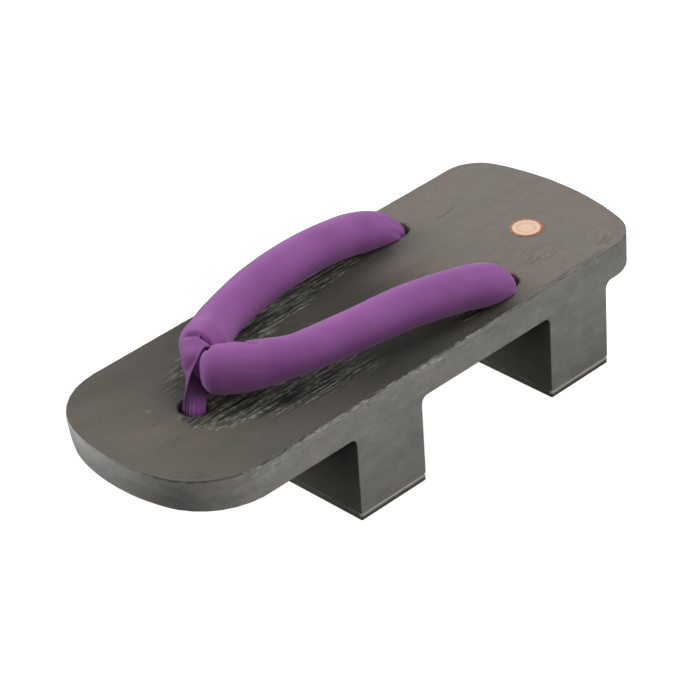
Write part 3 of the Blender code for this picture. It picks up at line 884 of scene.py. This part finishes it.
# The columns crowd to the fold by this power. The cloth's own place grows by so much a row and a column.
FOLD_CROWDING, ROW_MM, COLUMN_MM = 1.3, 0.42, 0.45
# The far border is tucked in over these columns, sunk by a share of the offset. The first rows hang free.
FEATHER_COLUMNS, BORDER_SINK, SNAP_REACH, FREE_ROWS = 6, 0.2, 6 * MM, 3 * LOOP_STEPS
RELAX_ROUNDS = 26
# Pleats: how many on each face, how deep in mm, and the rows over which they smooth out
OUTER_PLEATS, INNER_PLEATS, PLEAT_DEPTH, PLEATED_ROWS = 2.5, 6.5, 0.75, (1.6, 5.0)
# The outer face stands fuller here: rows from the hole, how many rows it takes, in mm
SWELL_ROW, SWELL_ROWS, SWELL = 3.6, 1.2, 0.30
BOW_DIRECTION = Vector((-0.5, -0.8, 0.35))
# The inner face is painted dark from these columns on, as painted shade in the hollow under the joint, but not
# in the gathers by the hole
PAINTED_SHADE_COLUMNS, GATHER_COLUMNS, GATHER_ROWS = (0, 4), (6, 16), (1.4, 2.6)


def relax_over(points, tree):
    """Draws the loop's outer face tight over the left strap, with its far border tucked into it."""
    rows = len(points)
    for _ in range(RELAX_ROUNDS):
        moved = [row[:] for row in points]
        for i in range(FREE_ROWS, rows - 1):
            for j in range(1, OUTER_COLUMNS - 1):
                mean = (points[i - 1][j] + points[i + 1][j] + points[i][j - 1] + points[i][j + 1]) / 4
                moved[i][j] = points[i][j].lerp(mean, 0.5)
        for i in range(rows):
            for j in range(OUTER_COLUMNS - 1):
                place, normal, _, away = tree.find_nearest(moved[i][j], SNAP_REACH)
                if place is None:
                    continue
                height = (moved[i][j] - place).dot(normal)
                lift = LOOP_OFFSET * (min(j / FEATHER_COLUMNS, 1.0) * (1 + BORDER_SINK) - BORDER_SINK)
                tucked = j < FEATHER_COLUMNS and i >= FREE_ROWS
                if tucked or (height < lift and (height > 0 or away < SNAP_REACH / 2)):
                    moved[i][j] = place + normal * lift
        points = moved
    return points


def add_loop_front(left_strap):
    """The cloth of the toe loop, from the hole over the left strap's end to the dip between the straps."""
    tree = BVHTree.FromObject(left_strap, bpy.context.evaluated_depsgraph_get())
    points, rows = [], (len(LOOP_ROWS) - 1) * LOOP_STEPS + 1
    for i in range(rows):
        row = spline(LOOP_ROWS, i / LOOP_STEPS)
        far, fold, middle, end = (Vector((row[k], row[k + 1], row[k + 2])) * MM for k in (0, 3, 6, 9))
        line = []
        for j in range(OUTER_COLUMNS):
            t = 1 - (1 - j / OUTER_COLUMNS) ** FOLD_CROWDING
            line.append(far.lerp(fold, t) + BOW_DIRECTION * (row[12] * MM * 4 * t * (1 - t)))
        for j in range(INNER_COLUMNS + 1):
            t = (j / INNER_COLUMNS) ** FOLD_CROWDING
            from_fold, to_end = 2 * (t - 0.5) * (t - 1), 2 * t * (t - 0.5)
            line.append(fold * from_fold + middle * (4 * t * (1 - t)) + end * to_end)
        points.append([point + Vector((0, 0, DECK_TOP)) for point in line])
    points = relax_over(points, tree)
    pleated = []
    for i, line in enumerate(points):
        gathered = 1 - smooth(PLEATED_ROWS[0] * LOOP_STEPS, PLEATED_ROWS[1] * LOOP_STEPS, i)
        swell = SWELL * bump_at(i / LOOP_STEPS, SWELL_ROW, SWELL_ROWS)
        new_line = []
        for j, point in enumerate(line):
            before, after = line[max(j - 1, 0)], line[min(j + 1, len(line) - 1)]
            normal = (after - before).cross(Vector((0, 0, 1))).normalized()
            if j < OUTER_COLUMNS:
                wave = 1 - abs(math.cos(math.pi * OUTER_PLEATS * (OUTER_COLUMNS - j) / OUTER_COLUMNS))
                full = swell * math.sin(math.pi * j / OUTER_COLUMNS) ** 0.7
            else:
                wave = 1 - abs(math.cos(math.pi * INNER_PLEATS * (j - OUTER_COLUMNS) / INNER_COLUMNS))
                full = 0.0
            new_line.append(point + normal * ((full - wave * PLEAT_DEPTH * gathered) * MM))
        pleated.append(new_line)
    bm = bmesh.new()
    layer = bm.loops.layers.uv.new("cloth")
    # Where the loop's inner face is painted dark as shade
    inside = bm.verts.layers.float.new("inside")
    grid = [[bm.verts.new(point) for point in line] for line in pleated]
    for i, line in enumerate(grid):
        for j, vert in enumerate(line):
            column = j - OUTER_COLUMNS
            gathers = (1 - smooth(*GATHER_ROWS, i / LOOP_STEPS)) * smooth(*GATHER_COLUMNS, column)
            vert[inside] = smooth(*PAINTED_SHADE_COLUMNS, column) * (1 - gathers)
    for i in range(rows - 1):
        for j in range(len(grid[0]) - 1):
            face = bm.faces.new((grid[i][j], grid[i][j + 1], grid[i + 1][j + 1], grid[i + 1][j]))
            for corner, place in zip(face.loops, ((i, j), (i, j + 1), (i + 1, j + 1), (i + 1, j))):
                corner[layer].uv = (place[0] * ROW_MM, place[1] * COLUMN_MM)
    band = new_object("toe_loop_front", bm)
    return thicken(band, LOOP_CLOTH)


def thicken(obj, thickness):
    """Gives a sheet its thickness and soft borders, as plain mesh."""
    solid = obj.modifiers.new("thickness", "SOLIDIFY")
    solid.thickness, solid.offset = thickness, 0
    finer = obj.modifiers.new("finer", "SUBSURF")
    finer.levels = finer.render_levels = 1
    graph = bpy.context.evaluated_depsgraph_get()
    mesh = bpy.data.meshes.new_from_object(obj.evaluated_get(graph))
    obj.modifiers.clear()
    obj.data = mesh
    mesh.shade_smooth()
    return obj


# The rest of the toe loop: gathered in the hole, back under the joint, up behind it and over to the front.
# Places and half sizes in mm, and how deeply the strand is pleated.
STRAND_ROWS = (
    # x, y, up, half width, half thickness, pleats
    (0.4, -80.8, -16.0, 3.8, 3.8, 1.0),
    (0.6, -80.6, -3.0, 3.6, 3.6, 1.0),
    (0.4, -79.4, 0.8, 3.0, 2.6, 1.0),
    (-0.6, -76.6, 2.2, 1.9, 1.2, 0.9),
    (-0.9, -73.0, 2.7, 1.8, 1.0, 0.4),
    (-0.6, -68.0, 3.3, 2.2, 1.1, 0.3),
    (0.0, -63.4, 6.5, 2.4, 1.2, 0.3),
    (0.0, -61.8, 12.0, 2.2, 1.2, 0.3),
    (0.0, -63.6, 17.0, 2.1, 1.1, 0.3),
    (0.2, -67.0, 19.4, 1.9, 0.9, 0.3),
    (0.7, -70.4, 20.2, 1.4, 0.7, 0.2),
)
# A rear tail, from the knot up to the strap's end
TAIL_ROWS = (
    # x, y, up, half width, half thickness, pleats
    (0.0, 0.0, -16.0, 4.4, 4.4, 1.0),
    (0.0, 0.0, -3.0, 4.6, 4.6, 1.0),
    (0.2, -0.8, 0.6, 4.5, 4.2, 0.8),
    (0.9, -3.2, 2.6, 4.4, 3.4, 0.5),
    (1.2, -6.0, 3.6, 4.2, 3.0, 0.3),
)
STRAND_STEPS, STRAND_SIDES, STRAND_PLEATS, STRAND_PLEAT_DEPTH = 7, 66, 11, 0.36
# The pleats sway to and fro by this turn, over this length in mm
PLEAT_SWAY, PLEAT_SWAY_LENGTH = 0.4, 5
GATHERED_SHARP_DEGREES = 75


def strand(name, rows, place, side=1):
    """A gathered cloth strand along rows of sections, around a place on the deck."""
    count = (len(rows) - 1) * STRAND_STEPS
    sections = [spline(rows, i / STRAND_STEPS) for i in range(count + 1)]
    centres = [place + Vector((side * r[0] * MM, r[1] * MM, r[2] * MM)) for r in sections]
    rings, length = [], 0.0
    for i, (centre, row) in enumerate(zip(centres, sections)):
        if i:
            length += (centre - centres[i - 1]).length / MM
        along = (centres[min(i + 1, count)] - centres[max(i - 1, 0)]).normalized()
        across = Vector((1, 0, 0))
        outward = across.cross(along).normalized()
        ring = []
        for j in range(STRAND_SIDES):
            turn = 2 * math.pi * j / STRAND_SIDES
            sway = PLEAT_SWAY * math.sin(length / PLEAT_SWAY_LENGTH)
            pleat = 1 - abs(math.sin(STRAND_PLEATS * turn / 2 + sway))
            shrink = 1 - row[5] * pleat * STRAND_PLEAT_DEPTH / max(row[4], 1.0)
            reach = (across * (math.cos(turn) * row[3]) + outward * (math.sin(turn) * row[4])) * (MM * shrink)
            ring.append((centre + reach, (length, turn * row[3])))
        rings.append(ring)
    return skin(name, rings, GATHERED_SHARP_DEGREES)


# The knots under the deck: one thick cord wound on itself, in mm, and the folds along the cord
KNOT_TUBE, KNOT_RADIUS, KNOT_HALF_HEIGHT, KNOT_DROP = 2.7, 4.6, 1.9, 19.8
KNOT_RINGS, KNOT_SIDES, KNOT_FOLDS, KNOT_FOLD_DEPTH = 108, 20, 5, 0.07


def knot(name, place):
    """A pulled-tight knot: a cord wound as a trefoil."""
    def middle(t):
        x = (math.sin(t) + 2 * math.sin(2 * t)) / 3 * KNOT_RADIUS
        y = (math.cos(t) - 2 * math.cos(2 * t)) / 3 * KNOT_RADIUS
        return place + Vector((x, y, -KNOT_DROP - math.sin(3 * t) * KNOT_HALF_HEIGHT)) * MM

    bm = bmesh.new()
    loops = []
    for i in range(KNOT_RINGS):
        t = 2 * math.pi * i / KNOT_RINGS
        centre, along = middle(t), (middle(t + 0.01) - middle(t - 0.01)).normalized()
        across = along.cross(Vector((0, 0, 1))).normalized()
        upward = across.cross(along)
        ring = []
        for j in range(KNOT_SIDES):
            turn = 2 * math.pi * j / KNOT_SIDES
            radius = KNOT_TUBE * (1 - KNOT_FOLD_DEPTH * abs(math.sin(KNOT_FOLDS / 2 * turn + t * 2)))
            direction = across * math.cos(turn) + upward * math.sin(turn)
            ring.append(bm.verts.new(centre + direction * (radius * MM)))
        loops.append(ring)
    for i in range(KNOT_RINGS):
        for j in range(KNOT_SIDES):
            a, b = loops[i], loops[(i + 1) % KNOT_RINGS]
            k = (j + 1) % KNOT_SIDES
            bm.faces.new((a[j], a[k], b[k], b[j]))
    bm.loops.layers.uv.new("cloth")
    bmesh.ops.recalc_face_normals(bm, faces=bm.faces)
    return new_object(name, bm, GATHERED_SHARP_DEGREES)


def add_cords(straps):
    """The toe loop, the rear tails and the three knots."""
    loop_cotton = cloth_material("loop_cotton", *LOOP_COTTON)
    strap_cotton = straps[0].data.materials[0]
    right, left = REAR_HOLES
    front_place = Vector((0, 0, DECK_TOP))
    made = [
        (add_loop_front(straps[1]), "toe_loop", "loop_cloth", loop_cotton),
        (strand("toe_loop_back", STRAND_ROWS, front_place), "toe_loop", "loop_cloth", loop_cotton),
        (knot("front_knot", FRONT_HOLE), "toe_loop", "loop_cloth", loop_cotton),
        (strand("right_tail", TAIL_ROWS, right), "thong_straps", "strap_cloth", strap_cotton),
        (strand("left_tail", TAIL_ROWS, left, -1), "thong_straps", "strap_cloth", strap_cotton),
        (knot("right_knot", right), "thong_straps", "strap_cloth", strap_cotton),
        (knot("left_knot", left), "thong_straps", "strap_cloth", strap_cotton),
    ]
    for piece, node, slot, material in made:
        piece.data.materials.clear()
        piece.data.materials.append(material)
        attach(piece, "root")
        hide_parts(node)


# The round label: place, radius, thickness and colours, and the soft edges of its rings, from its middle
LABEL_PLACE = Vector((9.8 * MM, 88.8 * MM, DECK_TOP))
LABEL_RADIUS, LABEL_THICKNESS, LABEL_LIFT = 6.8 * MM, 0.14 * MM, 0.05 * MM
LABEL_RED, LABEL_PALE = (0.36, 0.13, 0.085), (0.80, 0.57, 0.42)
BORDER_EDGE, FINE_RING_INNER, FINE_RING_OUTER = (5.5, 5.75), (3.1, 3.25), (3.95, 3.8)
FINE_RING_INK = 0.3


def add_label():
    """A plain round paper label: a red ring round a pale field with a fine ring."""
    bm = bmesh.new()
    bmesh.ops.create_cone(bm, cap_ends=True, segments=96, radius1=LABEL_RADIUS, radius2=LABEL_RADIUS,
                          depth=LABEL_THICKNESS)
    middle = LABEL_PLACE + Vector((0, 0, LABEL_LIFT + LABEL_THICKNESS / 2))
    bmesh.ops.translate(bm, verts=bm.verts, vec=middle)
    label = new_object("round_label", bm, 30)
    s = Shade("label_paper")
    place = s.node("TexCoord", {}).outputs["Object"]
    top = LABEL_PLACE + Vector((0, 0, LABEL_LIFT + LABEL_THICKNESS))
    radius = s.node("VectorMath", {0: place, 1: top}, operation="DISTANCE").outputs["Value"]
    edges = (BORDER_EDGE, FINE_RING_INNER, FINE_RING_OUTER)
    border, ring_inner, ring_outer = (s.ramp(radius, low * MM, high * MM) for low, high in edges)
    fine_ring = s.maths("MULTIPLY", ring_inner, ring_outer)
    rings = s.maths("MAXIMUM", border, s.maths("MULTIPLY", fine_ring, FINE_RING_INK))
    fade = s.noise((900, 900, 900), detail=3)
    ink = s.maths("MULTIPLY", rings, s.ramp(fade, 0.15, 0.5))
    s.colour(s.mix(ink, LABEL_PALE, LABEL_RED))
    s.shader.inputs["Roughness"].default_value = 0.42
    s.bump((fade, 0.02 * MM))
    label.data.materials.append(s.material)
    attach(label, "root")


# The pads' rubber, and the glue on their right side: its colour, how far it wanders, the shares of the pad's
# height over which it comes in, and how far in from the block's side
RUBBER = (0.125, 0.124, 0.110), (0.22, 0.216, 0.196)
GLUE, GLUE_WANDER, GLUE_HEIGHTS, GLUE_INSETS = (0.56, 0.54, 0.49), 0.8 * MM, (0.45, 0.7), (1.6, 0.9)


def dress_pads():
    """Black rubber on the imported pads, with a pale worn line of glue along their upper edge."""
    s = Shade("black_rubber")
    grit = s.noise((1400, 1400, 1400), detail=4)
    scuff = s.noise((120, 40, 300), detail=4)
    ragged = s.noise((200, 200, 200), detail=3)
    split = s.node("SeparateXYZ", {0: s.object_place()})
    wander = s.maths("MULTIPLY", s.maths("SUBTRACT", ragged, 0.5), GLUE_WANDER)
    height = s.maths("ADD", split.outputs["Z"], wander)
    upper = s.ramp(height, *(share * PAD_HEIGHT for share in GLUE_HEIGHTS))
    near = s.ramp(split.outputs["X"], *(HALF_WIDTH - inset * MM for inset in GLUE_INSETS))
    rubber = s.mix(s.ramp(scuff, 0.45, 0.75), *RUBBER)
    s.colour(s.mix(s.maths("MULTIPLY", upper, near), rubber, GLUE))
    s.roughness(s.maths("ADD", s.maths("MULTIPLY", grit, 0.2), 0.65))
    s.bump((grit, 0.12 * MM))
    for name in ("front_tooth_pad", "rear_tooth_pad"):
        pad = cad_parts[name]
        pad.data.materials.clear()
        pad.data.materials.append(s.material)


def main():
    bpy.context.scene.view_settings.view_transform = "Standard"
    add_camera()
    add_lights()
    add_floor()
    add_block()
    add_cords(add_straps())
    add_label()
    dress_pads()


main()
